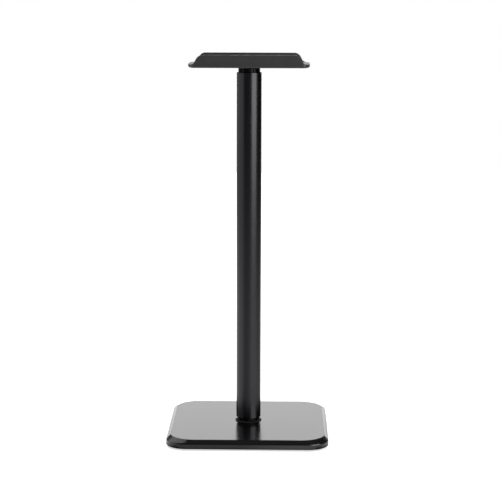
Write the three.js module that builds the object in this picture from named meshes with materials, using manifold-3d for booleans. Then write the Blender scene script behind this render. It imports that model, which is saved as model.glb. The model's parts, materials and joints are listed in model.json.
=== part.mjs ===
// A free-standing headphone stand: a weighted square base, a round aluminium pole and a soft
// saddle that turns on top of the pole. Millimetres, +Z up, origin on the surface that the stand
// rests on, under the pole's axis. +X runs along the saddle, from one open end to the other.

import * as THREE from "three";
import { mergeVertices } from "three/addons/utils/BufferGeometryUtils.js";
import Module from "manifold-3d";

const wasm = await Module();
wasm.setup();

// Driving dimensions

const touch = 0.1; // gap left between faces that rest on each other
const beyond = 1; // how far a cutting solid reaches past the face that it cuts
const roundSides = 48; // sides of a large round piece
const screwSides = 24; // sides of a screw, insert or washer
const cornerSteps = 4; // curve divisions; a quarter circle gets twice as many sides

const baseWidth = 108.6;
const baseCorner = 14; // plan radius of the base's sides at the corners
const topCorner = 16; // plan radius of the top face's corners
const baseLift = 1.2; // the shell's rim above the surface
const baseTop = 7.2; // the flat top face above the surface
const chamferWidth = 2.6;
const chamferHeight = 2.3;
const shellWall = 2.2;
const shellRoof = 2.0;
const ceilingSlope = 1.5; // sloping inner edge between the ceiling and the wall
const bossHang = 1.3; // the middle boss below the shell's ceiling
const bossRadius = 12;

const ballastThickness = 2.7;
const ballastGap = 1.6; // between the plate's edge and the shell's wall
const ballastHole = 13.5; // radius of the hole round the middle boss

const pillarRadius = 3.3; // screw pillars of the shell, through the plate
const pillarPlace = 40; // their distance from the axis
const pillarBottom = 2.5;
const pillarBore = 1.5;
const pillarRoof = 1.2; // solid left above a pillar's bore
const pillarGap = 0.3; // between a pillar and the plate

const footRadius = 9;
const footPlace = 36; // along X and along Y
const footEdge = 0.5;

const tubeRadius = 8.4;
const tubeBore = 7.5;
const tubeBottom = 10.0;
const tubeTop = 247.2;
const tubeEdge = 0.3;

const ribCount = 12;
const ribRadius = 7.35;
const ribRoot = 6.65;
const ribHalfAngle = THREE.MathUtils.degToRad(6.5);
const ribFlank = 1.4; // a rib's root angle as a multiple of its crest angle
const plugLength = 17;

const screwRadius = 2.9; // M6 thread, drawn plain
const screwLength = 18;
const screwHeadRadius = 6;
const screwHeadHeight = 1.3;
const socketRadius = 2.3; // across the corners of the hex socket
const socketDepth = 0.9;
const socketSides = 6;
const clearance = 3.4; // radius of a hole that the screw passes

const insertRadius = 4.2;
const insertLength = 10;
const insertInset = 4; // from the plug's outer end

const ringRadius = 9.0; // the thin ring under the pole
const ringHeight = 0.4;

const washerRadius = 9;
const washerHeight = 1.0;
const waveWasherHeight = 0.4;

const saddleLength = 81;
const saddleWidth = 44.8; // over the walls' rims
const endCurveAlong = 4.5; // the open ends' corners are quarter ellipses in plan
const endCurveAcross = 12;
const saddleBottom = 250.8;
const saddleTop = 259.4;
const floorHeight = 2.4; // thickness of the floor at its open ends
const crownHeight = 4.7; // thickness of the floor in the middle
const wallLean = 1.0; // how far a wall leans out over its height
const wallFoot = 2.6; // wall thickness at the floor
const wallRim = 2.0; // wall thickness at the rim
const keelRadius = 1.6; // outer edge along the underside
const wallEndTop = 31.0; // where the rim starts to fall, from the middle
const wallEndBottom = 36.4; // where the wall meets the floor's open end
const shoulderReach = 2.6; // the rounded shoulder at the rim's end, along X
const shoulderDrop = 1.3; // and its height
const rimEdge = 0.8; // rounding of the rim
const floorFillet = 2.4; // between the floor and a wall
const curveSteps = 4; // points on each curve of the saddle's section

const plateLength = 58; // steel plate moulded into the saddle's floor
const plateWidth = 28;
const plateCorner = 8;
const plateHeight = 1.0;
const plateLift = 0.6; // above the saddle's underside

const capRadius = 7.1;
const capHeight = 1.1;

const baseHalf = baseWidth / 2;
const ceiling = baseTop - shellRoof;
const ballastTop = ceiling - 2 * touch;
const ballastBottom = ballastTop - ballastThickness;
const plugBottom = baseTop + ringHeight + 2 * touch;
const plugTop = saddleBottom - touch;
const saddleFloor = saddleBottom + floorHeight;
const plateBottom = saddleBottom + plateLift;
const plateTop = plateBottom + plateHeight;

// Materials

const finish = (color, roughness, metalness) =>
  new THREE.MeshStandardMaterial({ color, roughness, metalness });

const glossyAbs = finish(0x141414, 0.22, 0);
const anodised = finish(0x26262a, 0.38, 0.9);
const mouldedNylon = finish(0x101010, 0.5, 0);
const softTpu = finish(0x2c2c2e, 0.7, 0);
const blackRubber = finish(0x161616, 0.85, 0);
const coatedSteel = finish(0x2a2b2d, 0.45, 0.6);
const zincSteel = finish(0xb9bcc0, 0.35, 0.95);
const brass = finish(0xb08d4a, 0.35, 0.95);

// Solids

function solidOf(geometry) {
  const bare = geometry.clone();
  bare.deleteAttribute("normal");
  bare.deleteAttribute("uv");
  const merged = mergeVertices(bare);
  const mesh = new wasm.Mesh({
    numProp: 3,
    vertProperties: Float32Array.from(merged.attributes.position.array),
    triVerts: Uint32Array.from(merged.index.array),
  });
  return new wasm.Manifold(mesh);
}

function geometryOf(solid) {
  const { vertProperties, triVerts } = solid.getMesh();
  const geometry = new THREE.BufferGeometry();
  geometry.setAttribute("position", new THREE.BufferAttribute(vertProperties, 3));
  geometry.setIndex(new THREE.BufferAttribute(triVerts, 1));
  return geometry;
}

function cut(body, ...tools) {
  return geometryOf(tools.reduce((left, tool) => left.subtract(solidOf(tool)), solidOf(body)));
}

function join(body, ...others) {
  return geometryOf(others.reduce((sum, other) => sum.add(solidOf(other)), solidOf(body)));
}

function shared(body, ...others) {
  return geometryOf(others.reduce((rest, other) => rest.intersect(solidOf(other)), solidOf(body)));
}

// A body of revolution about +Z, from [radius, z] points that go up the outside.
function turned(profile, sides = roundSides) {
  const points = profile.map(([radius, z]) => new THREE.Vector2(radius, z));
  return new THREE.LatheGeometry(points, sides).rotateX(Math.PI / 2);
}

const rod = (radius, bottom, top, sides) =>
  turned([[0, bottom], [radius, bottom], [radius, top], [0, top]], sides);

const ring = (outer, inner, bottom, top, sides) =>
  turned([[inner, bottom], [outer, bottom], [outer, top], [inner, top], [inner, bottom]], sides);

function upright(shape, bottom, top) {
  const settings = { depth: top - bottom, bevelEnabled: false, curveSegments: cornerSteps };
  return new THREE.ExtrudeGeometry(shape, settings).translate(0, 0, bottom);
}

// A section drawn in Y and Z, drawn out along X on both sides of the middle.
function alongX(shape, length) {
  const turn = new THREE.Matrix4().makeBasis(
    new THREE.Vector3(0, 1, 0),
    new THREE.Vector3(0, 0, 1),
    new THREE.Vector3(1, 0, 0),
  );
  return upright(shape, -length / 2, length / 2).applyMatrix4(turn);
}

// A side view drawn in X and Z, drawn out along Y on both sides of the middle.
function alongY(shape, width) {
  const turn = new THREE.Matrix4().makeBasis(
    new THREE.Vector3(1, 0, 0),
    new THREE.Vector3(0, 0, 1),
    new THREE.Vector3(0, -1, 0),
  );
  return upright(shape, -width / 2, width / 2).applyMatrix4(turn);
}

function roundedRectangle(length, width, along, across = along) {
  const x = length / 2 - along;
  const y = width / 2 - across;
  const quarter = Math.PI / 2;
  const shape = new THREE.Shape();
  shape.absellipse(x, y, along, across, 0, quarter);
  shape.absellipse(-x, y, along, across, quarter, 2 * quarter);
  shape.absellipse(-x, -y, along, across, 2 * quarter, 3 * quarter);
  shape.absellipse(x, -y, along, across, 3 * quarter, 4 * quarter);
  shape.closePath();
  return shape;
}

// A solid through rounded squares of one size each: [half width, corner radius, z] from the bottom up.
function stackedSquares(levels) {
  const rings = levels.map(([half, corner, z]) => {
    const outline = roundedRectangle(2 * half, 2 * half, corner).getPoints(cornerSteps);
    if (outline[0].distanceTo(outline.at(-1)) < touch) outline.pop();
    return outline.map(({ x, y }) => [x, y, z]);
  });
  const count = rings[0].length;
  const last = rings.length - 1;
  const positions = rings.flat(2);
  positions.push(0, 0, levels[0][2], 0, 0, levels[last][2]);
  const bottomMiddle = rings.length * count;
  const topMiddle = bottomMiddle + 1;
  const faces = [];
  for (let i = 0; i < count; i += 1) {
    const next = (i + 1) % count;
    faces.push(bottomMiddle, next, i);
    faces.push(topMiddle, last * count + i, last * count + next);
    for (let level = 0; level < last; level += 1) {
      const low = level * count;
      const high = low + count;
      faces.push(low + i, low + next, high + next);
      faces.push(low + i, high + next, high + i);
    }
  }
  const geometry = new THREE.BufferGeometry();
  geometry.setAttribute("position", new THREE.Float32BufferAttribute(positions, 3));
  geometry.setIndex(faces);
  return geometry;
}

// Base

const quarterTurns = [0, 1, 2, 3].map((turn) => (turn * Math.PI) / 2);
const pillarSpots = quarterTurns.map((angle) => [
  pillarPlace * Math.sin(angle),
  -pillarPlace * Math.cos(angle),
]);

function baseShell() {
  const chamferBottom = baseTop - chamferHeight;
  const outside = stackedSquares([
    [baseHalf, baseCorner, baseLift],
    [baseHalf, baseCorner, chamferBottom],
    [baseHalf - chamferWidth, topCorner, baseTop],
  ]);
  const inHalf = baseHalf - shellWall;
  const inCorner = baseCorner - shellWall;
  const hollow = stackedSquares([
    [inHalf, inCorner, baseLift - beyond],
    [inHalf, inCorner, ceiling - ceilingSlope],
    [inHalf - ceilingSlope, inCorner - ceilingSlope, ceiling],
  ]);
  const inRoof = baseTop - shellRoof / 2;
  const boss = rod(bossRadius, ceiling - bossHang, inRoof);
  const pillars = pillarSpots.map(([x, y]) =>
    rod(pillarRadius, pillarBottom, inRoof, screwSides).translate(x, y, 0),
  );
  const bores = pillarSpots.map(([x, y]) =>
    rod(pillarBore, 0, baseTop - pillarRoof, screwSides).translate(x, y, 0),
  );
  const shell = join(cut(outside, hollow), boss, ...pillars);
  return cut(shell, rod(clearance, 0, baseTop + beyond, screwSides), ...bores);
}

function ballastPlate() {
  const half = baseHalf - shellWall - ballastGap;
  const corner = baseCorner - shellWall - ballastGap;
  const outline = roundedRectangle(2 * half, 2 * half, corner);
  const plate = upright(outline, ballastBottom, ballastTop);
  const holes = pillarSpots.map(([x, y]) =>
    rod(pillarRadius + pillarGap, 0, baseTop, screwSides).translate(x, y, 0),
  );
  return cut(plate, rod(ballastHole, 0, baseTop), ...holes);
}

// A pan-head self-tapping screw that comes up from below, with a crossed recess.
function plateScrew() {
  const headRadius = 4.6;
  const headHeight = 1.1;
  const headRound = 1.0;
  const shank = 1.35;
  const threadLength = 3.2;
  const tipLength = 0.6;
  const recessLength = 3.4;
  const recessWidth = 0.7;
  const recessDepth = 0.6;
  const headTop = ballastBottom - touch;
  const headBottom = headTop - headHeight;
  const threadTop = headTop + threadLength;
  const body = turned(
    [
      [0, headBottom],
      [headRadius - headRound, headBottom],
      [headRadius, headBottom + headRound / 2],
      [headRadius, headTop],
      [shank, headTop],
      [shank, threadTop],
      [0, threadTop + tipLength],
    ],
    screwSides,
  );
  const slot = (length, width) => new THREE.BoxGeometry(length, width, 2 * recessDepth);
  const recess = join(slot(recessLength, recessWidth), slot(recessWidth, recessLength));
  return cut(body, recess.translate(0, 0, headBottom));
}

function foot() {
  const top = ballastBottom - touch;
  return turned([
    [0, 0],
    [footRadius - footEdge, 0],
    [footRadius, footEdge],
    [footRadius, top],
    [0, top],
  ]);
}

// Pole

function poleTube() {
  const inner = tubeBore + tubeEdge;
  const outer = tubeRadius - tubeEdge;
  return turned([
    [inner, tubeBottom],
    [outer, tubeBottom],
    [tubeRadius, tubeBottom + tubeEdge],
    [tubeRadius, tubeTop - tubeEdge],
    [outer, tubeTop],
    [inner, tubeTop],
    [tubeBore, tubeTop - tubeEdge],
    [tubeBore, tubeBottom + tubeEdge],
    [inner, tubeBottom],
  ]);
}

// The ribbed plug of one tube end, standing on z = 0 with its outer end down.
function plug() {
  const shape = new THREE.Shape();
  const pitch = (2 * Math.PI) / ribCount;
  const points = [];
  const addPoint = (radius, angle) =>
    points.push(new THREE.Vector2(radius * Math.cos(angle), radius * Math.sin(angle)));
  for (let rib = 0; rib < ribCount; rib += 1) {
    const middle = rib * pitch;
    addPoint(ribRoot, middle - ribFlank * ribHalfAngle);
    addPoint(ribRadius, middle - ribHalfAngle);
    addPoint(ribRadius, middle + ribHalfAngle);
    addPoint(ribRoot, middle + ribFlank * ribHalfAngle);
  }
  shape.setFromPoints(points);
  const body = upright(shape, 0, plugLength);
  const screwHole = rod(clearance, -beyond, plugLength, screwSides);
  const insertTop = plugLength + beyond;
  const socket = rod(insertRadius + touch, insertInset - touch, insertTop, screwSides);
  return cut(body, screwHole, socket);
}

const insert = () =>
  ring(insertRadius, screwRadius + touch, insertInset, insertInset + insertLength, screwSides);

// A flat-headed hex socket screw whose head's bearing face is at z = 0 and whose shank goes up.
function plugScrew() {
  const edge = 0.4;
  const body = turned(
    [
      [0, -screwHeadHeight],
      [screwHeadRadius - edge, -screwHeadHeight],
      [screwHeadRadius, edge - screwHeadHeight],
      [screwHeadRadius, 0],
      [screwRadius, 0],
      [screwRadius, screwLength - edge],
      [screwRadius - edge, screwLength],
      [0, screwLength],
    ],
    screwSides,
  );
  const socketTop = socketDepth - screwHeadHeight;
  const socket = rod(socketRadius, -screwHeadHeight - beyond, socketTop, socketSides);
  return cut(body, socket);
}

// Saddle

// Half of the section across the saddle, from the underside's middle to the floor's middle.
function saddleSection() {
  const rim = saddleWidth / 2;
  const keel = rim - wallLean;
  const inFoot = keel - wallFoot;
  const inRim = rim - wallRim;
  const between = (low, high, share) => low + (high - low) * share;
  const outside = (z) => between(keel, rim, (z - saddleBottom) / (saddleTop - saddleBottom));
  const inside = (z) => between(inFoot, inRim, (z - saddleFloor) / (saddleTop - saddleFloor));
  const keelTop = saddleBottom + keelRadius;
  const filletTop = saddleFloor + floorFillet;
  const outEdge = saddleTop - rimEdge;
  const inEdge = saddleTop - rimEdge / 2;
  const half = new THREE.Path();
  half.moveTo(0, saddleBottom);
  half.lineTo(keel - keelRadius, saddleBottom);
  half.quadraticCurveTo(keel, saddleBottom, outside(keelTop), keelTop);
  half.lineTo(outside(outEdge), outEdge);
  half.quadraticCurveTo(rim, saddleTop, rim - rimEdge, saddleTop);
  half.lineTo(inRim + rimEdge / 2, saddleTop);
  half.quadraticCurveTo(inRim, saddleTop, inside(inEdge), inEdge);
  half.lineTo(inside(filletTop), filletTop);
  half.quadraticCurveTo(inFoot, saddleFloor, inFoot - floorFillet, saddleFloor);
  half.lineTo(0, saddleFloor);
  const right = half.getPoints(curveSteps);
  const left = right
    .slice(1, -1)
    .map(({ x, y }) => new THREE.Vector2(-x, y))
    .reverse();
  return new THREE.Shape([...right, ...left]);
}

// The saddle seen from the front: low at the open ends, full height between the walls' ends.
function saddleOutline() {
  const end = saddleLength / 2 + beyond;
  const below = saddleBottom - beyond;
  const above = saddleTop + beyond;
  const shoulder = wallEndTop + shoulderReach;
  const bend = wallEndTop + (2 / 3) * shoulderReach;
  const shoulderFoot = saddleTop - shoulderDrop;
  const shape = new THREE.Shape();
  shape.moveTo(-end, below);
  shape.lineTo(end, below);
  shape.lineTo(end, saddleFloor);
  shape.lineTo(wallEndBottom, saddleFloor);
  shape.lineTo(shoulder, shoulderFoot);
  shape.quadraticCurveTo(bend, saddleTop, wallEndTop, saddleTop);
  shape.lineTo(wallEndTop, above);
  shape.lineTo(-wallEndTop, above);
  shape.lineTo(-wallEndTop, saddleTop);
  shape.quadraticCurveTo(-bend, saddleTop, -shoulder, shoulderFoot);
  shape.lineTo(-wallEndBottom, saddleFloor);
  shape.lineTo(-end, saddleFloor);
  shape.closePath();
  return shape;
}

// The floor's low crown along X, so that it follows the inside of a headband. It reaches into the
// feet of both walls.
function saddleCrown() {
  const rise = crownHeight - floorHeight;
  const radius = (wallEndBottom ** 2 + rise ** 2) / (2 * rise);
  const halfAngle = Math.asin(wallEndBottom / radius);
  const middle = saddleBottom + crownHeight - radius;
  const inFloor = saddleBottom + floorHeight / 2;
  const shape = new THREE.Shape();
  shape.moveTo(-wallEndBottom, inFloor);
  shape.lineTo(wallEndBottom, inFloor);
  shape.absarc(0, middle, radius, Math.PI / 2 - halfAngle, Math.PI / 2 + halfAngle);
  shape.closePath();
  return alongY(shape, saddleWidth - 2 * wallLean - wallFoot);
}

function saddle() {
  const channel = alongX(saddleSection(), saddleLength);
  const plan = roundedRectangle(saddleLength, saddleWidth, endCurveAlong, endCurveAcross);
  const body = shared(
    join(channel, saddleCrown()),
    upright(plan, saddleBottom - beyond, saddleTop + beyond),
    alongY(saddleOutline(), saddleWidth + beyond),
  );
  const side = 2 * touch;
  const pocketCorner = plateCorner + side;
  const pocketPlan = roundedRectangle(plateLength + 2 * side, plateWidth + 2 * side, pocketCorner);
  const pocket = upright(pocketPlan, plateBottom - touch, plateTop + touch);
  const screwHole = rod(clearance, saddleBottom - beyond, plateTop, screwSides);
  const capHole = rod(capRadius + side, plateTop, saddleTop + beyond);
  return cut(body, pocket, screwHole, capHole);
}

function saddlePlate() {
  const plan = roundedRectangle(plateLength, plateWidth, plateCorner);
  return cut(
    upright(plan, plateBottom, plateTop),
    rod(clearance, plateBottom - beyond, plateTop + beyond, screwSides),
  );
}

function screwCap() {
  const top = saddleBottom + crownHeight;
  const edge = 0.3;
  return turned([
    [0, top - capHeight],
    [capRadius, top - capHeight],
    [capRadius, top - edge],
    [capRadius - edge, top],
    [0, top],
  ]);
}

// Assembly: the stand and the head that turns on it

const stand = new THREE.Group();
const head = new THREE.Group();

function place(group, name, geometry, material) {
  const mesh = new THREE.Mesh(geometry, material);
  mesh.name = name;
  group.add(mesh);
  return mesh;
}

place(stand, "base_shell", baseShell(), glossyAbs);
place(stand, "ballast_plate", ballastPlate(), coatedSteel);
["front", "right", "back", "left"].forEach((side, i) => {
  const [x, y] = pillarSpots[i];
  place(stand, `plate_screw_${side}`, plateScrew(), zincSteel).position.set(x, y, 0);
});
for (const [depth, y] of [["front", -footPlace], ["back", footPlace]]) {
  for (const [side, x] of [["left", -footPlace], ["right", footPlace]]) {
    place(stand, `foot_${depth}_${side}`, foot(), blackRubber).position.set(x, y, 0);
  }
}

const bossBottom = ceiling - bossHang;
const washerBottom = bossBottom - touch - washerHeight;
const washer = ring(washerRadius, clearance, washerBottom, bossBottom - touch);
place(stand, "pole_screw_washer", washer, zincSteel);
place(stand, "pole_screw", plugScrew(), zincSteel).position.z = washerBottom - touch;
const ringBottom = baseTop + touch;
const footRing = ring(ringRadius, clearance, ringBottom, ringBottom + ringHeight);
place(stand, "foot_ring", footRing, blackRubber);

place(stand, "bottom_plug", plug(), mouldedNylon).position.z = plugBottom;
place(stand, "bottom_insert", insert(), brass).position.z = plugBottom;
place(stand, "pole_tube", poleTube(), anodised);

const topEnd = new THREE.Group();
topEnd.position.z = plugTop;
topEnd.rotation.x = Math.PI;
stand.add(topEnd);
place(topEnd, "top_plug", plug(), mouldedNylon);
place(topEnd, "top_insert", insert(), brass);

const waveBottom = plateTop + touch;
const waveTop = waveBottom + waveWasherHeight;
const waveWasher = ring(screwHeadRadius, clearance, waveBottom, waveTop, screwSides);
place(stand, "wave_washer", waveWasher, zincSteel);
const headScrew = place(stand, "head_screw", plugScrew(), zincSteel);
headScrew.position.z = waveTop + touch;
headScrew.rotation.x = Math.PI;

place(head, "saddle", saddle(), softTpu);
place(head, "saddle_plate", saddlePlate(), coatedSteel);
place(head, "screw_cap", screwCap(), softTpu);

const headphoneStand = new THREE.Group();
headphoneStand.add(stand, head);

export default headphoneStand;
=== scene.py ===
"""A free-standing headphone stand: glossy moulded base, satin anodised pole and a soft matt saddle.

Laid out as a Blender add-on and run as a script. Lengths are metres, +Z is up, and the stand rests
on z = 0 with its pole on the Z axis. Places and outer sizes come from the CAD frame.
"""

import json
import math

import bpy
from mathutils import Matrix, Vector


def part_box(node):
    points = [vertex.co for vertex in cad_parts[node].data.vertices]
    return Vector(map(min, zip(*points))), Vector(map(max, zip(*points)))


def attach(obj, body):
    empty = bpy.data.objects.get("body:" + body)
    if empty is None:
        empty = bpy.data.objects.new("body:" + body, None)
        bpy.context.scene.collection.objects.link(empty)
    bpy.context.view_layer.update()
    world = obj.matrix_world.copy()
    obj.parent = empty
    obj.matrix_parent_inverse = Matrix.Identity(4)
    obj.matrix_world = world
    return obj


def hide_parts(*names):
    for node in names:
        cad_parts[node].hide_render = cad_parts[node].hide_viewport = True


bl_info = {
    "name": "Headphone Stand",
    "version": (1, 0, 0),
    "blender": (4, 5, 0),
    "location": "3D View > Sidebar > Stand",
    "description": "Builds a headphone stand with a weighted base, a pole and a turning saddle",
    "category": "Object",
}

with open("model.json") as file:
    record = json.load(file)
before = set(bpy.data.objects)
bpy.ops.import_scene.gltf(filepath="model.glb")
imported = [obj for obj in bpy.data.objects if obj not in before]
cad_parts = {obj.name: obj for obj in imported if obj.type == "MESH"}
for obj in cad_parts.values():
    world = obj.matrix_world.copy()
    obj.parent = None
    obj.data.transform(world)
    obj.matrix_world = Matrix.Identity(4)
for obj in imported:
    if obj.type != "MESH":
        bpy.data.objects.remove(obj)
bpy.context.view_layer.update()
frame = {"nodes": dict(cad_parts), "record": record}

MM = 0.001

# How near a point has to be to count as lying on a level or a line.
NEAR = 0.01 * MM
# How far a cutting tool reaches past the piece that it cuts.
REACH = 10 * MM
# Radius of the hole that the pole's screws pass through.
SCREW_HOLE = 3.4 * MM

# Nearly all of a noise texture's values lie between these two.
NOISE_LOW = 0.3
NOISE_HIGH = 0.7
# A colour Mix node's sockets, which share their names with those of its other data types.
MIX_COLOUR_A = 6
MIX_COLOUR_B = 7
MIX_COLOUR_RESULT = 2


# ---------------------------------------------------------------- colours and materials


def linear(hex_colour, alpha=1.0):
    """An sRGB hex colour as linear red, green, blue and alpha."""
    channels = [int(hex_colour[i : i + 2], 16) / 255 for i in (1, 3, 5)]
    curve = [c / 12.92 if c <= 0.04045 else ((c + 0.055) / 1.055) ** 2.4 for c in channels]
    return (*curve, alpha)


def add_node(tree, kind, inputs=None, **settings):
    """Adds a node, sets its properties and its inputs, and links each input given as a socket."""
    node = tree.nodes.new(kind)
    for name, value in settings.items():
        setattr(node, name, value)
    for name, value in (inputs or {}).items():
        if isinstance(value, bpy.types.NodeSocket):
            tree.links.new(value, node.inputs[name])
        else:
            node.inputs[name].default_value = value
    return node


def new_material(name, **shader_values):
    """A material with one Principled shader; returns it with its tree, shader and coordinates."""
    material = bpy.data.materials.new(name)
    material.use_nodes = True
    tree = material.node_tree
    tree.nodes.clear()
    shader = add_node(tree, "ShaderNodeBsdfPrincipled")
    for label, value in shader_values.items():
        shader.inputs[label.replace("_", " ")].default_value = value
    add_node(tree, "ShaderNodeOutputMaterial", {"Surface": shader.outputs["BSDF"]})
    coordinates = add_node(tree, "ShaderNodeTexCoord").outputs["Object"]
    return material, tree, shader, coordinates


def grain_finish(tree, shader, place, size_mm, roughness, relief_mm, strength, stretch=(1, 1, 1)):
    """Gives the shader a fine relief and an uneven gloss, both from one noise of this grain size."""
    scaled = add_node(tree, "ShaderNodeMapping", {"Vector": place, "Scale": stretch})
    noise = add_node(
        tree,
        "ShaderNodeTexNoise",
        {"Vector": scaled.outputs["Vector"], "Scale": 1 / (size_mm * MM), "Detail": 3.0},
    )
    gloss = add_node(
        tree,
        "ShaderNodeMapRange",
        {
            "Value": noise.outputs["Fac"],
            "From Min": NOISE_LOW,
            "From Max": NOISE_HIGH,
            "To Min": roughness[0],
            "To Max": roughness[1],
        },
    )
    relief = add_node(
        tree,
        "ShaderNodeBump",
        {"Height": noise.outputs["Fac"], "Strength": strength, "Distance": relief_mm * MM},
    )
    tree.links.new(gloss.outputs["Result"], shader.inputs["Roughness"])
    tree.links.new(relief.outputs["Normal"], shader.inputs["Normal"])
    return relief


def cloudy_tint(tree, shader, place, size_mm, dark, pale):
    """Gives the shader a base colour that drifts between two near tones in soft clouds."""
    noise = add_node(
        tree, "ShaderNodeTexNoise", {"Vector": place, "Scale": 1 / (size_mm * MM), "Detail": 2.0}
    )
    share = add_node(
        tree,
        "ShaderNodeMapRange",
        {"Value": noise.outputs["Fac"], "From Min": NOISE_LOW, "From Max": NOISE_HIGH},
    )
    tint = add_node(
        tree,
        "ShaderNodeMix",
        {"Factor": share.outputs["Result"], MIX_COLOUR_A: dark, MIX_COLOUR_B: pale},
        data_type="RGBA",
    )
    tree.links.new(tint.outputs[MIX_COLOUR_RESULT], shader.inputs["Base Color"])


def polished_abs(colours):
    """Black ABS from a polished mould: nearly a mirror at low angles, with a faint slow ripple."""
    material, tree, shader, place = new_material(
        "ABS, black, polished mould", Base_Color=colours.base, IOR=1.54
    )
    relief = grain_finish(tree, shader, place, 0.7, (0.16, 0.22), 0.004, 0.1)
    # Moulded flats sink and swell slightly over about 12 mm, which bends long reflections.
    ripple = add_node(
        tree, "ShaderNodeTexNoise", {"Vector": place, "Scale": 1 / (12 * MM), "Detail": 1.0}
    )
    sink = add_node(
        tree,
        "ShaderNodeBump",
        {"Height": ripple.outputs["Fac"], "Strength": 0.25, "Distance": 0.05 * MM},
    )
    tree.links.new(sink.outputs["Normal"], relief.inputs["Normal"])
    return material


def anodised_aluminium(colours):
    """Drawn tube, fine blasted and dyed black: a dark metal with soft, wide highlights."""
    material, tree, shader, place = new_material(
        "Aluminium, black anodised", Base_Color=colours.pole, Metallic=1.0
    )
    # Draw lines run along the tube, real ones 0.05 mm apart and here 0.3 mm so that they show.
    grain_finish(tree, shader, place, 0.3, (0.23, 0.29), 0.02, 0.15, stretch=(1, 1, 0.02))
    return material


def soft_tpu(colours):
    """Moulded TPU: matt and a little waxy, with the fine even grain of a spark-eroded mould."""
    material, tree, shader, place = new_material(
        "TPU, black, matt", IOR=1.5, Sheen_Weight=0.03, Sheen_Roughness=0.5
    )
    # Mould grain, real grit about 0.1 mm and here 0.35 mm so that it shows.
    grain_finish(tree, shader, place, 0.35, (0.42, 0.52), 0.04, 0.35)
    cloudy_tint(tree, shader, place, 6.0, colours.saddle, colours.saddle_pale)
    return material


def moulded_nylon(colours):
    """Black nylon as it leaves the mould: dull, with flow marks along the ribs."""
    material, tree, shader, place = new_material(
        "Nylon, black, moulded", Base_Color=colours.plug, IOR=1.53, Specular_IOR_Level=0.12
    )
    grain_finish(tree, shader, place, 0.8, (0.3, 0.42), 0.03, 0.2, stretch=(1, 1, 0.3))
    return material


def matt_rubber(colours):
    """Moulded rubber: dull, slightly dusty, with a fine stipple."""
    material, tree, shader, place = new_material(
        "Rubber, black, stippled", IOR=1.52, Specular_IOR_Level=0.3
    )
    grain_finish(tree, shader, place, 0.5, (0.7, 0.9), 0.06, 0.5)
    cloudy_tint(tree, shader, place, 4.0, colours.rubber, colours.rubber_dusty)
    return material


def coated_steel(colours):
    """Sheet steel under a thin electro-coat: satin black with a slight orange peel."""
    material, tree, shader, place = new_material(
        "Steel sheet, black e-coat", Base_Color=colours.coat, IOR=1.5
    )
    grain_finish(tree, shader, place, 1.2, (0.32, 0.48), 0.04, 0.3)
    return material


def plated_metal(name, colour):
    """Turned or rolled metal under bright plating: sharp highlights broken up by fine marks."""
    material, tree, shader, place = new_material(name, Base_Color=colour, Metallic=1.0)
    grain_finish(tree, shader, place, 0.4, (0.2, 0.4), 0.02, 0.15)
    return material


MAKERS = {
    "gloss_abs": polished_abs,
    "anodised_aluminium": anodised_aluminium,
    "tpu": soft_tpu,
    "nylon": moulded_nylon,
    "rubber": matt_rubber,
    "coated_steel": coated_steel,
    "zinc_steel": lambda colours: plated_metal("Steel, bright zinc", colours.zinc),
    "brass": lambda colours: plated_metal("Brass, turned", colours.brass),
}
made_materials = {}


def material_for(slot):
    """The material of one of the record's slots, made the first time that it is asked for."""
    if slot not in made_materials:
        made_materials[slot] = MAKERS[slot](bpy.context.scene.stand_colours)
    return made_materials[slot]


# ---------------------------------------------------------------- modelling helpers


def begin(name, add_primitive, **settings):
    """Adds a primitive with its place in its mesh, names it and opens it in edit mode."""
    if bpy.context.mode != "OBJECT":
        bpy.ops.object.mode_set(mode="OBJECT")
    bpy.ops.object.select_all(action="DESELECT")
    add_primitive(**settings)
    bpy.ops.object.transform_apply(location=True, rotation=True, scale=True)
    piece = bpy.context.object
    piece.name = name
    piece.data.name = name
    bpy.ops.object.mode_set(mode="EDIT")
    return piece


def pick(kind, test):
    """Selects the vertices, edges or faces whose points and normal pass the test, in edit mode."""
    mesh = bpy.context.edit_object.data
    bpy.ops.mesh.select_mode(type=kind)
    bpy.ops.mesh.select_all(action="DESELECT")
    bpy.ops.object.mode_set(mode="OBJECT")
    points = [v.co for v in mesh.vertices]
    if kind == "VERT":
        for vertex in mesh.vertices:
            vertex.select = test([vertex.co], vertex.normal)
    elif kind == "EDGE":
        for edge in mesh.edges:
            edge.select = test([points[i] for i in edge.vertices], None)
    else:
        for face in mesh.polygons:
            face.select = test([points[i] for i in face.vertices], face.normal)
    bpy.ops.object.mode_set(mode="EDIT")


def all_at(value, axis=2, within=NEAR):
    """A test for pick: every point lies at this value on the axis."""
    return lambda points, normal: all(abs(p[axis] - value) < within for p in points)


def extrude(z):
    """Draws the selected faces out along Z."""
    bpy.ops.mesh.extrude_region_move(TRANSFORM_OT_translate={"value": (0, 0, z)})


def face_outwards():
    bpy.ops.mesh.select_all(action="SELECT")
    bpy.ops.mesh.remove_doubles(threshold=0.001 * MM)
    bpy.ops.mesh.normals_make_consistent(inside=False)


def end_edit():
    face_outwards()
    bpy.ops.object.mode_set(mode="OBJECT")


def select_only(piece):
    bpy.ops.object.select_all(action="DESELECT")
    piece.select_set(True)
    bpy.context.view_layer.objects.active = piece


def apply_modifier(piece, kind, **settings):
    """Adds one modifier, sets it and applies it."""
    select_only(piece)
    modifier = piece.modifiers.new(kind.title(), kind)
    for name, value in settings.items():
        setattr(modifier, name, value)
    bpy.ops.object.modifier_apply(modifier=modifier.name)


def round_edges(piece, width, segments=3, angle=25):
    apply_modifier(
        piece,
        "BEVEL",
        width=width,
        segments=segments,
        limit_method="ANGLE",
        angle_limit=math.radians(angle),
        miter_outer="MITER_ARC",
        use_clamp_overlap=True,
    )


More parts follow.
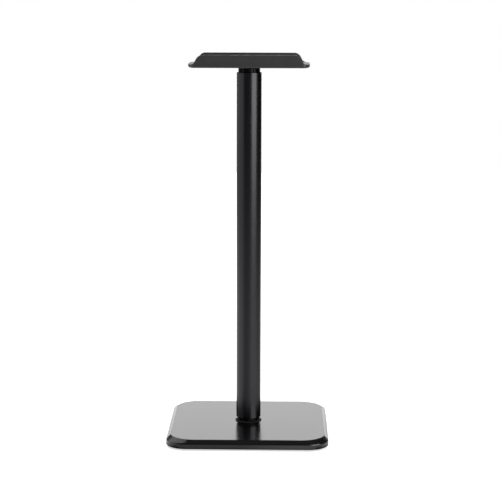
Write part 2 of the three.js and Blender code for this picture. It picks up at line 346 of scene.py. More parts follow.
def combine(piece, tool, operation):
    """Joins the tool to the piece or cuts it out, and removes the tool."""
    apply_modifier(piece, "BOOLEAN", object=tool, operation=operation, solver="EXACT")
    bpy.data.objects.remove(tool, do_unlink=True)


def cylinder(name, radius, bottom, top, x=0.0, y=0.0, sides=64):
    """A plain cylinder left in object mode, for use as a start or as a tool."""
    piece = begin(
        name,
        bpy.ops.mesh.primitive_cylinder_add,
        vertices=sides,
        radius=radius,
        depth=top - bottom,
        location=(x, y, (bottom + top) / 2),
    )
    bpy.ops.object.mode_set(mode="OBJECT")
    return piece


def bore(piece, radius, top, x=0.0, y=0.0, sides=48):
    """Cuts a round hole from the floor up to this height."""
    tool = cylinder("bore", radius, 0, top, x, y, sides)
    combine(piece, tool, "DIFFERENCE")


def smooth(piece, angle=32):
    """Smooth shading up to the angle, with large flats kept flat."""
    select_only(piece)
    bpy.ops.object.shade_smooth_by_angle(angle=math.radians(angle))
    apply_modifier(piece, "WEIGHTED_NORMAL", keep_sharp=True, weight=80)


def finish_piece(piece, slot, body, *nodes):
    """Gives the piece its material, and says what it rides on and which CAD nodes it stands for."""
    piece.data.materials.clear()
    piece.data.materials.append(material_for(slot))
    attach(piece, body)
    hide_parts(*nodes)


# ---------------------------------------------------------------- settings


def length(name, description, default_mm):
    return bpy.props.FloatProperty(
        name=name, description=description, default=default_mm * MM, min=0.0, unit="LENGTH"
    )


def angle(name, description, degrees):
    return bpy.props.FloatProperty(
        name=name, description=description, default=math.radians(degrees), subtype="ANGLE"
    )


def power(name, description, watts):
    return bpy.props.FloatProperty(
        name=name, description=description, default=watts, unit="POWER"
    )


def colour(name, description, hex_colour):
    return bpy.props.FloatVectorProperty(
        name=name,
        description=description,
        default=linear(hex_colour),
        size=4,
        min=0.0,
        max=1.0,
        subtype="COLOR",
    )


class StandSizes(bpy.types.PropertyGroup):
    base_corner: length("Base corner", "Plan radius of the base's sides at the corners", 14.0)
    top_corner: length("Top corner", "Plan radius of the top face's corners", 16.0)
    chamfer_width: length("Chamfer width", "Width of the base's sloping edge in plan", 2.6)
    chamfer_height: length("Chamfer height", "Height of the base's sloping edge", 2.3)
    shell_wall: length("Shell wall", "Thickness of the base shell's sides", 2.2)
    shell_roof: length("Shell roof", "Thickness of the base shell's top", 2.0)
    top_edge: length("Top edge", "Rounding between the base's top and its sloping edge", 0.25)
    shoulder_edge: length("Shoulder", "Rounding between the sloping edge and the sides", 0.7)
    rim_edge: length("Rim edge", "Rounding of the base's lower rim", 0.5)
    tube_wall: length("Tube wall", "Wall thickness of the pole", 0.9)
    rib_depth: length("Rib depth", "How far the plugs' ribs stand out", 0.7)
    end_curve_along: length("End curve, along", "Length of the saddle's corner curves", 4.5)
    end_curve_across: length("End curve, across", "Width of the saddle's corner curves", 12.0)
    saddle_floor: length("Saddle floor", "Thickness of the saddle's open ends", 2.4)
    saddle_crown: length("Saddle crown", "Thickness of the saddle's floor in the middle", 4.7)
    wall_lean: length("Wall lean", "How far the saddle's walls lean out", 1.0)
    wall_foot: length("Wall foot", "Thickness of the saddle's walls at the floor", 2.6)
    keel_edge: length("Keel edge", "Rounding of the saddle's outer lower edge", 1.2)
    soft_edge: length("Soft edge", "Rounding of the saddle's other edges", 0.45)
    floor_fillet: length("Floor fillet", "Rounding between the saddle's floor and walls", 1.6)
    rim_half: length("Rim half length", "Half the length of the saddle's rims", 31.0)
    wall_half: length("Wall half length", "Half the length of the saddle's walls at the floor", 36.4)


class StandColours(bpy.types.PropertyGroup):
    base: colour("Base", "Moulded ABS of the base", "#060607")
    pole: colour("Pole", "Dyed anodised aluminium", "#38383a")
    saddle: colour("Saddle", "Moulded TPU", "#202021")
    saddle_pale: colour("Saddle, paler", "Paler clouds in the TPU", "#252526")
    plug: colour("Plugs", "Moulded nylon", "#050505")
    rubber: colour("Rubber", "Feet and foot ring", "#0d0d0d")
    rubber_dusty: colour("Rubber, dusty", "Paler clouds in the rubber", "#1a1a1a")
    coat: colour("Steel coat", "Black coat on the steel plates", "#161617")
    zinc: colour("Zinc", "Plated screws and washers", "#c3c5c8")
    brass: colour("Brass", "Threaded inserts", "#b8944f")


class StandStudio(bpy.types.PropertyGroup):
    camera_distance: length("Camera distance", "From the pole's axis, in plan", 1101.4)
    camera_height: length("Camera height", "Above the floor", 303.31)
    camera_bearing: angle("Camera bearing", "Round the pole from the front, towards +X", 1.11)
    camera_pan: angle("Camera pan", "Aim beside the axis", -0.041)
    camera_dip: angle("Camera dip", "Aim below the horizon", 9.125)
    camera_roll: angle("Camera roll", "Clockwise tilt of the camera's picture", 0.14)
    lens: bpy.props.FloatProperty(
        name="Lens", description="Focal length on a 36 mm sensor", default=117.73, unit="CAMERA"
    )
    backdrop: bpy.props.FloatProperty(
        name="Backdrop", description="Brightness of the sweep behind the stand", default=1.72
    )
    room: bpy.props.FloatProperty(
        name="Room", description="Brightness of the room round the studio", default=0.03
    )
    key_power: power("Key light", "Power of the softbox on the right", 18.5)
    top_power: power("Top light", "Power of the softbox above the left", 3.5)
    fill_power: power("Fill light", "Power of the diffuse light overhead", 18.0)


# ---------------------------------------------------------------- base


class HSTAND_OT_base_shell(bpy.types.Operator):
    """Moulded tray with rounded corners, a sloping upper edge, a middle boss and screw pillars"""

    bl_idname = "hstand.base_shell"
    bl_label = "Base Shell"

    def execute(self, context):
        sizes = context.scene.stand_sizes
        low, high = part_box("base_shell")
        piece = begin(
            "base_shell_moulding",
            bpy.ops.mesh.primitive_plane_add,
            size=high.x - low.x,
            location=(0, 0, low.z),
        )
        bpy.ops.mesh.bevel(offset=sizes.base_corner, segments=20, affect="VERTICES")
        shoulder = high.z - sizes.chamfer_height
        extrude(z=shoulder - low.z)
        self.chamfer(sizes, high)
        face_outwards()
        for height, width in ((shoulder, sizes.shoulder_edge), (low.z, sizes.rim_edge)):
            pick("EDGE", all_at(height))
            bpy.ops.mesh.bevel(offset=width, segments=4, affect="EDGES")
        end_edit()
        self.hollow(piece, low.z, high.z - sizes.shell_roof, sizes.shell_wall - sizes.rim_edge)
        self.bosses(piece, high.z - sizes.shell_roof)
        smooth(piece)
        finish_piece(piece, "gloss_abs", "stand", "base_shell")
        return {"FINISHED"}

    def chamfer(self, sizes, high):
        """Slopes in to the top face, and rounds the edge between them in two shallower steps."""
        step = sizes.top_edge / 2
        slopes = (0.53, 0.25)
        rise = sizes.chamfer_height - step * sum(slopes)
        inwards = sizes.chamfer_width - step
        bpy.ops.mesh.inset(thickness=inwards, depth=rise)
        top = high.z - sizes.chamfer_height + rise
        self.widen_corners(high.x - inwards, top, sizes.base_corner - inwards, sizes.top_corner)
        pick("FACE", all_at(top))
        for slope in slopes:
            bpy.ops.mesh.inset(thickness=step, depth=step * slope)

    def widen_corners(self, half, level, radius, wider):
        """Scales each corner arc of a square outline about the point where its sides would meet."""
        within = radius + NEAR
        for x in (-half, half):
            for y in (-half, half):
                pick(
                    "VERT",
                    lambda points, normal: abs(points[0].z - level) < NEAR
                    and abs(points[0].x - x) < within
                    and abs(points[0].y - y) < within,
                )
                bpy.ops.transform.resize(
                    value=(wider / radius, wider / radius, 1), center_override=(x, y, level)
                )

    def hollow(self, piece, rim, ceiling, wall):
        slope = 1.5 * MM
        select_only(piece)
        bpy.ops.object.mode_set(mode="EDIT")
        pick("FACE", all_at(rim))
        bpy.ops.mesh.inset(thickness=wall)
        extrude(z=ceiling - slope - rim)
        bpy.ops.mesh.inset(thickness=slope, depth=-slope)
        end_edit()

    def bosses(self, piece, ceiling):
        boss_radius = 12 * MM
        boss_hang = 1.3 * MM
        pillar_radius = 3.3 * MM
        pillar_bottom = 2.5 * MM
        buried = 0.5 * MM
        boss = cylinder("boss", boss_radius, ceiling - boss_hang, ceiling + buried)
        combine(piece, boss, "UNION")
        for x, y in pillar_places():
            pillar = cylinder("pillar", pillar_radius, pillar_bottom, ceiling + buried, x, y, 32)
            combine(piece, pillar, "UNION")
        bore(piece, SCREW_HOLE, ceiling + REACH)


def pillar_places():
    """The axes of the four plate screws, from the CAD screws' boxes."""
    places = []
    for side in ("front", "right", "back", "left"):
        low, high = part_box(f"plate_screw_{side}")
        places.append(((low.x + high.x) / 2, (low.y + high.y) / 2))
    return places


class HSTAND_OT_ballast_plate(bpy.types.Operator):
    """Thick steel plate that fills the shell from below"""

    bl_idname = "hstand.ballast_plate"
    bl_label = "Ballast Plate"

    def execute(self, context):
        low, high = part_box("ballast_plate")
        corner = context.scene.stand_sizes.base_corner - (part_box("base_shell")[1].x - high.x)
        hole = 13.5 * MM
        pillar_hole = 3.6 * MM
        above_plate = 10 * MM
        piece = begin(
            "ballast_plate_steel",
            bpy.ops.mesh.primitive_plane_add,
            size=high.x - low.x,
            location=(0, 0, low.z),
        )
        bpy.ops.mesh.bevel(offset=corner, segments=16, affect="VERTICES")
        extrude(z=high.z - low.z)
        end_edit()
        bore(piece, hole, above_plate, sides=96)
        for x, y in pillar_places():
            bore(piece, pillar_hole, above_plate, x, y, sides=40)
        round_edges(piece, 0.2 * MM, segments=2, angle=40)
        smooth(piece)
        finish_piece(piece, "coated_steel", "stand", "ballast_plate")
        return {"FINISHED"}


class HSTAND_OT_feet(bpy.types.Operator):
    """Four stuck-on rubber feet with a dished underside"""

    bl_idname = "hstand.feet"
    bl_label = "Feet"

    def execute(self, context):
        for depth in ("front", "back"):
            for side in ("left", "right"):
                self.foot(f"foot_{depth}_{side}")
        return {"FINISHED"}

    def foot(self, node):
        low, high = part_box(node)
        radius = (high.x - low.x) / 2
        rim = 2.2 * MM
        dish = 0.35 * MM
        piece = begin(
            f"{node}_rubber",
            bpy.ops.mesh.primitive_cylinder_add,
            vertices=64,
            radius=radius,
            depth=high.z - low.z,
            location=((low.x + high.x) / 2, (low.y + high.y) / 2, (low.z + high.z) / 2),
        )
        pick("FACE", all_at(low.z))
        bpy.ops.mesh.inset(thickness=rim)
        bpy.ops.mesh.inset(thickness=dish, depth=-dish)
        end_edit()
        round_edges(piece, 0.3 * MM)
        smooth(piece)
        finish_piece(piece, "rubber", "stand", node)


class HSTAND_OT_plate_screws(bpy.types.Operator):
    """Four cross-recessed pan-head screws that hold the ballast plate"""

    bl_idname = "hstand.plate_screws"
    bl_label = "Plate Screws"

    def execute(self, context):
        for side in ("front", "right", "back", "left"):
            self.screw(f"plate_screw_{side}")
        return {"FINISHED"}

    def screw(self, node):
        low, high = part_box(node)
        x, y = (low.x + high.x) / 2, (low.y + high.y) / 2
        head_height = 1.1 * MM
        head_edge = 0.8 * MM
        shank = 1.35 * MM
        point = 0.6 * MM
        point_inset = 0.8 * MM
        # The cross recess, in millimetres: length and width of each arm, and twice the depth.
        arm, arm_width, twice_depth = 3.4, 0.7, 1.2
        piece = begin(
            f"{node}_zinc",
            bpy.ops.mesh.primitive_cylinder_add,
            vertices=48,
            radius=(high.x - low.x) / 2,
            depth=head_height,
            location=(x, y, low.z + head_height / 2),
        )
        top = low.z + head_height
        pick("FACE", all_at(top))
        bpy.ops.mesh.inset(thickness=(high.x - low.x) / 2 - shank)
        extrude(z=high.z - top - point)
        bpy.ops.mesh.inset(thickness=point_inset, depth=point)
        pick("EDGE", all_at(low.z))
        bpy.ops.mesh.bevel(offset=head_edge, segments=5, affect="EDGES")
        end_edit()
        for width, depth in ((arm, arm_width), (arm_width, arm)):
            slot = begin("slot", bpy.ops.mesh.primitive_cube_add, size=MM, location=(0, 0, 0))
            bpy.ops.transform.resize(value=(width, depth, twice_depth))
            bpy.ops.transform.translate(value=(x, y, low.z))
            bpy.ops.object.mode_set(mode="OBJECT")
            combine(piece, slot, "DIFFERENCE")
        smooth(piece)
        finish_piece(piece, "zinc_steel", "stand", node)


class HSTAND_OT_pole_screw(bpy.types.Operator):
    """Flat-headed hex socket screw and plain washer under the pole"""

    bl_idname = "hstand.pole_screw"
    bl_label = "Pole Screw and Washer"

    def execute(self, context):
        self.washer()
        self.screw()
        return {"FINISHED"}

    def washer(self):
        low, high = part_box("pole_screw_washer")
        above_washer = 10 * MM
        piece = cylinder("pole_screw_washer_zinc", high.x, low.z, high.z, sides=96)
        bore(piece, SCREW_HOLE, above_washer, sides=64)
        round_edges(piece, 0.15 * MM, segments=2, angle=40)
        smooth(piece)
        finish_piece(piece, "zinc_steel", "stand", "pole_screw_washer")

    def screw(self):
        low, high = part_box("pole_screw")
        head_height = 1.3 * MM
        shank = 2.9 * MM
        socket_radius = 2.3 * MM
        socket_depth = 0.9 * MM
        piece = begin(
            "pole_screw_zinc",
            bpy.ops.mesh.primitive_cylinder_add,
            vertices=64,
            radius=high.x,
            depth=head_height,
            location=(0, 0, low.z + head_height / 2),
        )
        pick("FACE", all_at(low.z + head_height))
        bpy.ops.mesh.inset(thickness=high.x - shank)
        extrude(z=high.z - low.z - head_height)
        end_edit()
        round_edges(piece, 0.25 * MM, angle=40)
        socket = cylinder("socket", socket_radius, low.z - MM, low.z + socket_depth, sides=6)
        combine(piece, socket, "DIFFERENCE")
        smooth(piece)
        finish_piece(piece, "zinc_steel", "stand", "pole_screw")


# ---------------------------------------------------------------- pole


class HSTAND_OT_foot_ring(bpy.types.Operator):
    """Thin rubber ring between the base and the pole's plug"""

    bl_idname = "hstand.foot_ring"
    bl_label = "Foot Ring"

    def execute(self, context):
        low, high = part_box("foot_ring")
        above_ring = 20 * MM
        piece = cylinder("foot_ring_rubber", high.x, low.z, high.z, sides=128)
        bore(piece, SCREW_HOLE, above_ring)
        round_edges(piece, 0.18 * MM, angle=40)
        smooth(piece)
        finish_piece(piece, "rubber", "stand", "foot_ring")
        return {"FINISHED"}


class HSTAND_OT_plugs(bpy.types.Operator):
    """The two ribbed plugs in the ends of the tube"""

    bl_idname = "hstand.plugs"
    bl_label = "Ribbed Plugs"

    def execute(self, context):
        for node in ("bottom_plug", "top_plug"):
            self.plug(node, context.scene.stand_sizes.rib_depth)
        return {"FINISHED"}

    def plug(self, node, rib_depth):
        low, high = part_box(node)
        outer = high.y
        ribs = 12
        faces_per_rib = 6
        above_stand = 300 * MM
        sides = ribs * faces_per_rib
        piece = begin(
            f"{node}_nylon",
            bpy.ops.mesh.primitive_cylinder_add,
            vertices=sides,
            radius=outer - rib_depth,
            depth=high.z - low.z,
            location=(0, 0, (low.z + high.z) / 2),
        )

        def on_rib(points, normal):
            if abs(normal.z) > 0.5:
                return False
            turn = math.atan2(normal.y, normal.x) / (2 * math.pi) * ribs
            return abs(turn - round(turn)) < 1.1 / faces_per_rib

        pick("FACE", on_rib)
        bpy.ops.mesh.extrude_region_shrink_fatten(
            TRANSFORM_OT_shrink_fatten={"value": rib_depth}
        )
        end_edit()
        round_edges(piece, 0.15 * MM, segments=2, angle=30)
        bore(piece, SCREW_HOLE, above_stand)
        smooth(piece)
        finish_piece(piece, "nylon", "stand", node)


class HSTAND_OT_pole_tube(bpy.types.Operator):
    """Drawn round tube with broken edges"""

    bl_idname = "hstand.pole_tube"
    bl_label = "Pole Tube"

    def execute(self, context):
        low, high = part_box("pole_tube")
        wall = context.scene.stand_sizes.tube_wall
        piece = begin(
            "pole_tube_anodised",
            bpy.ops.mesh.primitive_cylinder_add,
            vertices=128,
            radius=high.x,
            depth=high.z - low.z,
            location=(0, 0, (low.z + high.z) / 2),
        )
        pick("FACE", lambda points, normal: abs(normal.z) > 0.5)
        bpy.ops.mesh.inset(thickness=wall)
        bpy.ops.mesh.delete(type="FACE")

        def inner_loop(points, normal):
            flat = abs(points[0].z - points[1].z) < NEAR
            return flat and max(p.xy.length for p in points) < high.x - wall / 2

        pick("EDGE", inner_loop)
        bpy.ops.mesh.bridge_edge_loops()
        end_edit()
        round_edges(piece, 0.3 * MM, angle=40)
        smooth(piece)
        finish_piece(piece, "anodised_aluminium", "stand", "pole_tube")
        return {"FINISHED"}


# ---------------------------------------------------------------- saddle


class HSTAND_OT_saddle(bpy.types.Operator):
    """Soft channel with two leaning walls, open rounded ends and a crowned floor"""

    bl_idname = "hstand.saddle"
    bl_label = "Saddle"

    def execute(self, context):
        sizes = context.scene.stand_sizes
        low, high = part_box("saddle")
        floor = low.z + sizes.saddle_floor
        half_width = high.y - sizes.wall_lean
        inner = half_width - sizes.wall_foot
        piece = begin(
            "saddle_tpu",
            bpy.ops.mesh.primitive_plane_add,
            size=1.0,
            location=(0, 0, low.z),
        )
        self.outline(sizes, high.x, half_width)
        extrude(z=sizes.saddle_floor)
        self.slice_floor(sizes, inner)
        self.raise_walls(sizes, floor, high.z, inner)
        self.crown_floor(sizes, floor, inner)
        face_outwards()
        self.fillet_floor(sizes, floor, inner)
        pick("EDGE", all_at(low.z))
        bpy.ops.mesh.region_to_loop()
        bpy.ops.mesh.bevel(offset=sizes.keel_edge, segments=5, affect="EDGES")
        end_edit()
        round_edges(piece, sizes.soft_edge, angle=38)
        self.cap_recess(piece)
        smooth(piece, 40)
        finish_piece(piece, "tpu", "head", "saddle")
        return {"FINISHED"}

    def outline(self, sizes, half_length, half_width):
        """Rounds the plan's corners as circles, and then squeezes them along X into ellipses."""
        corner = sizes.end_curve_across
        straight = half_length - sizes.end_curve_along
        bpy.ops.transform.resize(value=(2 * (straight + corner), 2 * half_width, 1))
        bpy.ops.mesh.bevel(offset=corner, segments=16, affect="VERTICES")
        for side in (-1, 1):
            pick("VERT", lambda points, normal: points[0].x * side > straight + NEAR)
            bpy.ops.transform.resize(
                value=(sizes.end_curve_along / corner, 1, 1),
                center_override=(side * straight, 0, 0),
            )
        bpy.ops.mesh.select_mode(type="FACE")
        bpy.ops.mesh.select_all(action="SELECT")

    def slice_floor(self, sizes, inner):
        """Cuts the inner lines of the walls, and cross cuts for the crown, into the slab."""
        crown_steps = 12
        cuts = [(0, 1, side * inner) for side in (-1, 1)]
        for step in range(-crown_steps, crown_steps + 1):
            cuts.append((1, 0, sizes.wall_half * step / crown_steps))
        for x, y, distance in cuts:
            bpy.ops.mesh.select_all(action="SELECT")
            bpy.ops.mesh.bisect(plane_co=(x * distance, y * distance, 0), plane_no=(x, y, 0))

    def raise_walls(self, sizes, floor, rim, inner):
        """Draws the walls up in steps, which lean out and shorten to a rounded upper end."""
        reach = sizes.wall_half
        span = reach - sizes.rim_half
        # Steps: share of the wall's height, and share of the shortening done by then.
        profile = ((0.3, 0.15), (0.55, 0.3), (0.75, 0.47), (0.88, 0.64), (0.96, 0.82), (1.0, 1.0))
        steps = [(share, reach - span * done) for share, done in profile]

        def wall_foot(points, normal):
            on_floor = all(abs(p.z - floor) < NEAR for p in points)
            middle = sum(points, Vector()) / len(points)
            return on_floor and abs(middle.y) > inner and abs(middle.x) < reach

        pick("FACE", wall_foot)
        height, half = 0.0, reach
        for next_height, next_half in steps:
            extrude(z=(next_height - height) * (rim - floor))
            bpy.ops.transform.resize(
                value=(next_half / half, 1, 1), center_override=(0, 0, floor)
            )
            self.lean(floor + next_height * (rim - floor), (next_height - height) * sizes.wall_lean)
            height, half = next_height, next_half
            pick("FACE", all_at(floor + height * (rim - floor)))

    def lean(self, level, outwards):
        for side in (-1, 1):
            pick(
                "VERT",
                lambda points, normal: abs(points[0].z - level) < NEAR
                and points[0].y * side > 0,
            )
            bpy.ops.transform.translate(value=(0, side * outwards, 0))

    def crown_floor(self, sizes, floor, inner):
        """Lifts each cross cut of the floor onto a low arc, highest in the middle."""
        rise = sizes.saddle_crown - sizes.saddle_floor
        reach = sizes.wall_half
        for x in self.stations(floor, reach):
            pick(
                "VERT",
                lambda points, normal: abs(points[0].x - x) < NEAR
                and abs(points[0].z - floor) < NEAR
                and abs(points[0].y) < inner + NEAR,
            )
            bpy.ops.transform.translate(value=(0, 0, rise * (1 - (x / reach) ** 2)))

    def stations(self, floor, reach):
        """The places along X of the floor's cross cuts, without the two at the walls' ends."""
        bpy.context.edit_object.update_from_editmode()
        places = set()
        for vertex in bpy.context.edit_object.data.vertices:
            x = vertex.co.x
            if abs(vertex.co.z - floor) < NEAR and abs(x) < reach - 0.1 * MM:
                places.add(round(x, 6))
        return sorted(places)

    def fillet_floor(self, sizes, floor, inner):
        """Rounds the inner corner between the crowned floor and each wall."""
        crown_top = floor + 2.2 * MM
        least_run = 0.1 * MM

        def corner(points, normal):
            along = all(abs(abs(p.y) - inner) < 2 * NEAR for p in points)
            low_enough = all(p.z < crown_top for p in points)
            inside = all(abs(p.x) < sizes.wall_half + least_run for p in points)
            return along and low_enough and inside and abs(points[0].x - points[1].x) > least_run

        pick("EDGE", corner)
        bpy.ops.mesh.bevel(offset=sizes.floor_fillet, segments=5, affect="EDGES")

    def cap_recess(self, piece):
        low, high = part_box("screw_cap")
        gap = 0.2 * MM
        recess = cylinder("recess", high.x + gap, low.z - gap, high.z + REACH, sides=96)
        combine(piece, recess, "DIFFERENCE")


class HSTAND_OT_screw_cap(bpy.types.Operator):
    """Soft cap over the head screw, level with the saddle's floor"""

    bl_idname = "hstand.screw_cap"
    bl_label = "Screw Cap"

    def execute(self, context):
        low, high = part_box("screw_cap")
        rim = 1.2 * MM
        step = 0.3 * MM
        dish = 0.15 * MM
        piece = begin(
            "screw_cap_tpu",
            bpy.ops.mesh.primitive_cylinder_add,
            vertices=96,
            radius=high.x,
            depth=high.z - low.z,
            location=(0, 0, (low.z + high.z) / 2),
        )
        pick("FACE", all_at(high.z))
        bpy.ops.mesh.inset(thickness=rim, depth=0)
        bpy.ops.mesh.inset(thickness=step, depth=-dish)
        end_edit()
        round_edges(piece, 0.25 * MM, angle=30)
        smooth(piece)
        finish_piece(piece, "tpu", "head", "screw_cap")
        return {"FINISHED"}


class HSTAND_OT_inner_hardware(bpy.types.Operator):
    """Finishes of the CAD pieces that stay hidden inside the pole and the saddle"""

    bl_idname = "hstand.inner_hardware"
    bl_label = "Inner Hardware"

    def execute(self, context):
        slots = {entry["node"]: entry["material_slot"] for entry in frame["record"]["subparts"]}
        for name in ("bottom_insert", "top_insert", "head_screw", "wave_washer", "saddle_plate"):
            node = frame["nodes"][name]
            node.data.materials.clear()
            node.data.materials.append(material_for(slots[name]))
        return {"FINISHED"}


# ---------------------------------------------------------------- stage


class HSTAND_OT_studio(bpy.types.Operator):
    """White floor and sweep, two softboxes, a diffuse fill and the camera"""

    bl_idname = "hstand.studio"
    bl_label = "Studio"

    def execute(self, context):
        studio = context.scene.stand_studio
        self.camera(studio)
        self.floor()
        self.world(studio)
        aim = Vector((0, 0, 0.15))
        self.softbox("key_softbox", (1.0, -0.88, 0.5), aim, (1.2, 0.95), studio.key_power)
        self.softbox("top_softbox", (-0.58, 0.35, 0.78), aim, (0.8, 1.1), studio.top_power)
        fill = self.softbox("fill_light", (0, 0, 1.5), aim, (1.6, 1.6), studio.fill_power)
        fill.visible_glossy = False
        context.scene.view_settings.view_transform = "Standard"
        context.scene.view_settings.look = "None"
        return {"FINISHED"}

    def camera(self, studio):
        data = bpy.data.cameras.new("camera")
        data.lens = studio.lens
        data.sensor_width = 36.0
        data.clip_start = 0.05
        data.clip_end = 50.0
        camera = bpy.data.objects.new("camera", data)
        bpy.context.scene.collection.objects.link(camera)
        bearing = studio.camera_bearing
        place = Vector(
            (
                math.sin(bearing) * studio.camera_distance,
                -math.cos(bearing) * studio.camera_distance,
                studio.camera_height,
            )
        )
        heading = math.atan2(-place.y, -place.x) + studio.camera_pan
        level = math.cos(studio.camera_dip)
        ahead = Vector(
            (
                math.cos(heading) * level,
                math.sin(heading) * level,
                -math.sin(studio.camera_dip),
            )
        )
        right = ahead.cross(Vector((0, 0, 1))).normalized()
        up = right.cross(ahead)
        turn = Matrix.Rotation(studio.camera_roll, 3, "Z")
        axes = Matrix((right, up, -ahead)).transposed() @ turn
        camera.matrix_world = Matrix.Translation(place) @ axes.to_4x4()
        bpy.context.scene.camera = camera

    def floor(self):
        """A wide white table, which glows a little so that it stays white right up to the stand."""
        bpy.ops.object.select_all(action="DESELECT")
        bpy.ops.mesh.primitive_plane_add(size=3.2, location=(0, 0, 0))
        floor = bpy.context.object
        floor.name = "studio_floor"
        material, tree, shader, place = new_material(
            "Studio floor, white",
            Base_Color=linear("#e8e8e8"),
            Roughness=1.0,
            Specular_IOR_Level=0.0,
            Emission_Color=linear("#ffffff"),
        )
        radius = add_node(tree, "ShaderNodeVectorMath", {0: place}, operation="LENGTH")
        seen_glow = add_node(
            tree,
            "ShaderNodeMapRange",
            {
                "Value": radius.outputs["Value"],
                "From Min": 0.25,
                "From Max": 1.6,
                "To Min": 0.6,
                "To Max": 1.05,
            },
        )
        tree.links.new(seen_glow.outputs["Result"], shader.inputs["Emission Strength"])
        # The camera sees plain white. Reflections see a table with painted pools of light on three
        # sides, painted dimming with distance, and a painted shadow in a narrow band round the base.
        bearing = add_node(tree, "ShaderNodeVectorMath", {0: place}, operation="NORMALIZE")
        # Painted pools of light on the table, seen only in reflections.
        patches = (
            ((0, 1, 0), 1.0, 30, 12, 1.2),
            ((-1, 0.1, 0), 1.0, 40, 20, 0.7),
            ((0.8, -0.6, 0), 1.0, 42, 18, 0.5),
        )
        level = self.lit_patches(tree, bearing.outputs["Vector"], 0.7, patches)
        # Painted dimming of the table's light away from the stand.
        reach = add_node(
            tree, "ShaderNodeVectorMath", {0: place, 1: (-0.15, 0, 0)}, operation="DISTANCE"
        )
        fade = add_node(
            tree,
            "ShaderNodeMapRange",
            {
                "Value": reach.outputs["Value"],
                "From Min": 0.35,
                "From Max": 1.3,
                "To Min": 1.0,
                "To Max": 0.2,
            },
        )
        folded = add_node(tree, "ShaderNodeVectorMath", {0: place}, operation="ABSOLUTE")
        sides = add_node(tree, "ShaderNodeSeparateXYZ", {0: folded.outputs["Vector"]})
        out = add_node(
            tree,
            "ShaderNodeMath",
            {0: sides.outputs["X"], 1: sides.outputs["Y"]},
            operation="MAXIMUM",
        )
        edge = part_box("base_shell")[1].x
        # Painted shadow: in reflections the table's glow goes dark within this band round the base.
        painted_shadow_band = 8 * MM
        shade = add_node(
            tree,
            "ShaderNodeMapRange",
            {"Value": out.outputs["Value"], "From Min": edge, "From Max": edge + painted_shadow_band},
        )
        faded = add_node(
            tree, "ShaderNodeMath", {0: level, 1: fade.outputs["Result"]}, operation="MULTIPLY"
        )
        painted_light_strength = add_node(
            tree,
            "ShaderNodeMath",
            {0: faded.outputs["Value"], 1: shade.outputs["Result"]},
            operation="MULTIPLY",
        )
        # Every ray but the camera's sees the table glow with this painted light and painted shadow.
        glow = add_node(
            tree,
            "ShaderNodeEmission",
            {"Color": linear("#ffffff"), "Strength": painted_light_strength.outputs["Value"]},
        )
        seen = add_node(tree, "ShaderNodeLightPath").outputs["Is Camera Ray"]
        mixed = add_node(
            tree,
            "ShaderNodeMixShader",
            {0: seen, 1: glow.outputs["Emission"], 2: shader.outputs["BSDF"]},
        )
        output = next(node for node in tree.nodes if node.type == "OUTPUT_MATERIAL")
        tree.links.new(mixed.outputs["Shader"], output.inputs["Surface"])
        floor.data.materials.append(material)

    def world(self, studio):
        """Plain white to the camera; to reflections, a dim room with bright patches on four sides."""
        world = bpy.data.worlds.new("studio")
        bpy.context.scene.world = world
        world.use_nodes = True
        tree = world.node_tree
        tree.nodes.clear()
        looking = add_node(tree, "ShaderNodeTexCoord").outputs["Generated"]
        white = linear("#ffffff")
        patches = (
            ((0, 1, 0), 0.35, 22, 2, studio.backdrop),
            ((-1, -0.03, 0), 1.0, 38, 8, 0.95),
            ((0, -1, 0), 1.0, 30, 25, 0.1),
            ((0, 0, 1), 1.0, 35, 15, 0.12),
        )
        level = self.lit_patches(tree, looking, studio.room, patches)
        lit = add_node(tree, "ShaderNodeBackground", {"Color": white, "Strength": level})
        plain = add_node(tree, "ShaderNodeBackground", {"Color": white, "Strength": 1.0})
        seen = add_node(tree, "ShaderNodeLightPath").outputs["Is Camera Ray"]
        mixed = add_node(
            tree, "ShaderNodeMixShader", {0: seen, 1: lit.outputs[0], 2: plain.outputs[0]}
        )
        add_node(tree, "ShaderNodeOutputWorld", {"Surface": mixed.outputs[0]})

    def lit_patches(self, tree, looking, level, patches):
        """Adds soft-edged round patches of brightness to a level, by the direction looked in.

        Each patch is its direction, squeeze of height, half angle, soft edge and brightness.
        """
        for direction, squeeze, half_angle, soft, strength in patches:
            squeezed = add_node(
                tree, "ShaderNodeMapping", {"Vector": looking, "Scale": (1, 1, squeeze)}
            )
            unit = add_node(
                tree, "ShaderNodeVectorMath", {0: squeezed.outputs[0]}, operation="NORMALIZE"
            )
            facing = add_node(
                tree,
                "ShaderNodeVectorMath",
                {0: unit.outputs[0], 1: Vector(direction).normalized()},
                operation="DOT_PRODUCT",
            )
            patch = add_node(
                tree,
                "ShaderNodeMapRange",
                {
                    "Value": facing.outputs["Value"],
                    "From Min": math.cos(math.radians(half_angle + soft)),
                    "From Max": math.cos(math.radians(half_angle - soft)),
                    "To Max": strength,
                },
                interpolation_type="SMOOTHSTEP",
            )
            total = add_node(
                tree, "ShaderNodeMath", {0: patch.outputs["Result"], 1: level}, operation="ADD"
            )
            level = total.outputs["Value"]
        return level

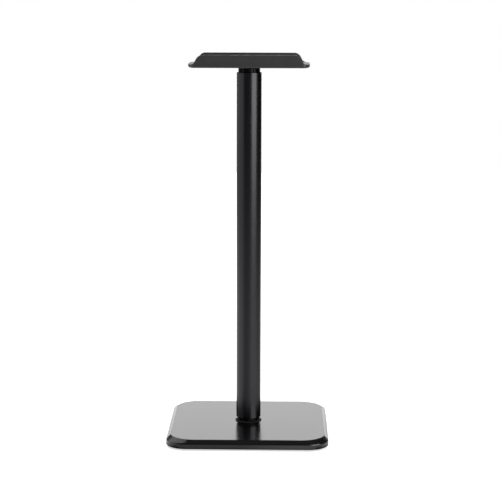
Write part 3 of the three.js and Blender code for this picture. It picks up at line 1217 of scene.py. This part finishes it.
    def softbox(self, name, place, aim, size, power):
        """A rectangular soft light, hidden from the camera and turned to the stand."""
        data = bpy.data.lights.new(name, "AREA")
        data.shape = "RECTANGLE"
        data.size, data.size_y = size
        data.energy = power
        light = bpy.data.objects.new(name, data)
        bpy.context.scene.collection.objects.link(light)
        light.location = place
        light.rotation_euler = (aim - Vector(place)).to_track_quat("-Z", "Y").to_euler()
        light.visible_camera = False
        return light


# ---------------------------------------------------------------- panel and running order

OPERATORS = (
    HSTAND_OT_studio,
    HSTAND_OT_base_shell,
    HSTAND_OT_ballast_plate,
    HSTAND_OT_feet,
    HSTAND_OT_plate_screws,
    HSTAND_OT_pole_screw,
    HSTAND_OT_foot_ring,
    HSTAND_OT_plugs,
    HSTAND_OT_pole_tube,
    HSTAND_OT_saddle,
    HSTAND_OT_screw_cap,
    HSTAND_OT_inner_hardware,
)


class HSTAND_PT_stand(bpy.types.Panel):
    bl_label = "Headphone Stand"
    bl_idname = "HSTAND_PT_stand"
    bl_space_type = "VIEW_3D"
    bl_region_type = "UI"
    bl_category = "Stand"

    def draw(self, context):
        layout = self.layout
        for operator in OPERATORS:
            layout.operator(operator.bl_idname)
        for settings in (
            context.scene.stand_sizes,
            context.scene.stand_colours,
            context.scene.stand_studio,
        ):
            box = layout.box()
            for name in settings.bl_rna.properties.keys():
                if name not in ("rna_type", "name"):
                    box.prop(settings, name)


GROUPS = {
    "stand_sizes": StandSizes,
    "stand_colours": StandColours,
    "stand_studio": StandStudio,
}
CLASSES = (*GROUPS.values(), *OPERATORS, HSTAND_PT_stand)


def register():
    for cls in CLASSES:
        bpy.utils.register_class(cls)
    for name, group in GROUPS.items():
        setattr(bpy.types.Scene, name, bpy.props.PointerProperty(type=group))


def unregister():
    for name in GROUPS:
        delattr(bpy.types.Scene, name)
    for cls in reversed(CLASSES):
        bpy.utils.unregister_class(cls)


def main():
    register()
    for operator in OPERATORS:
        section, call = operator.bl_idname.split(".")
        getattr(getattr(bpy.ops, section), call)()


if __name__ == "__main__":
    main()
